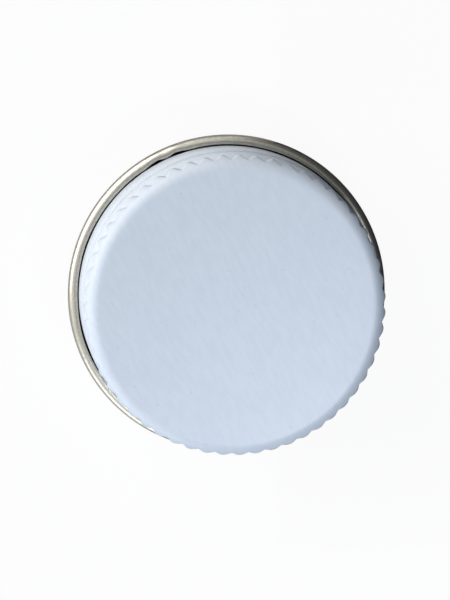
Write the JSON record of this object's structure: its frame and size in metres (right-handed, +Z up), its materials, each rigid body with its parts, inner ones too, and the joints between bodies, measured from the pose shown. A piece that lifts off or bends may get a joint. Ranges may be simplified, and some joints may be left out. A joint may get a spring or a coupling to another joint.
{
  "type": "bottle cap",
  "caption": "Threaded sheet-metal screw cap with a knurled band, a rolled thread, a curled edge and a sealing liner disc.",
  "frame": {"origin": "middle of the foot of the curled edge, on which the cap stands", "axes": "+Z up the cap's axis, from the open end to the closed panel; +X to the right as seen from above with +Y away"},
  "size_m": [0.03, 0.03, 0.0102],
  "materials": {
    "enamelled_tinplate": "gloss white enamel outside, gold-lacquered tinplate inside and on the curled edge",
    "liner_board": "off-white closed-cell foam liner"
  },
  "bodies": {
    "root": {"shell": "enamelled_tinplate", "liner": "liner_board"}
  },
  "joints": []
}
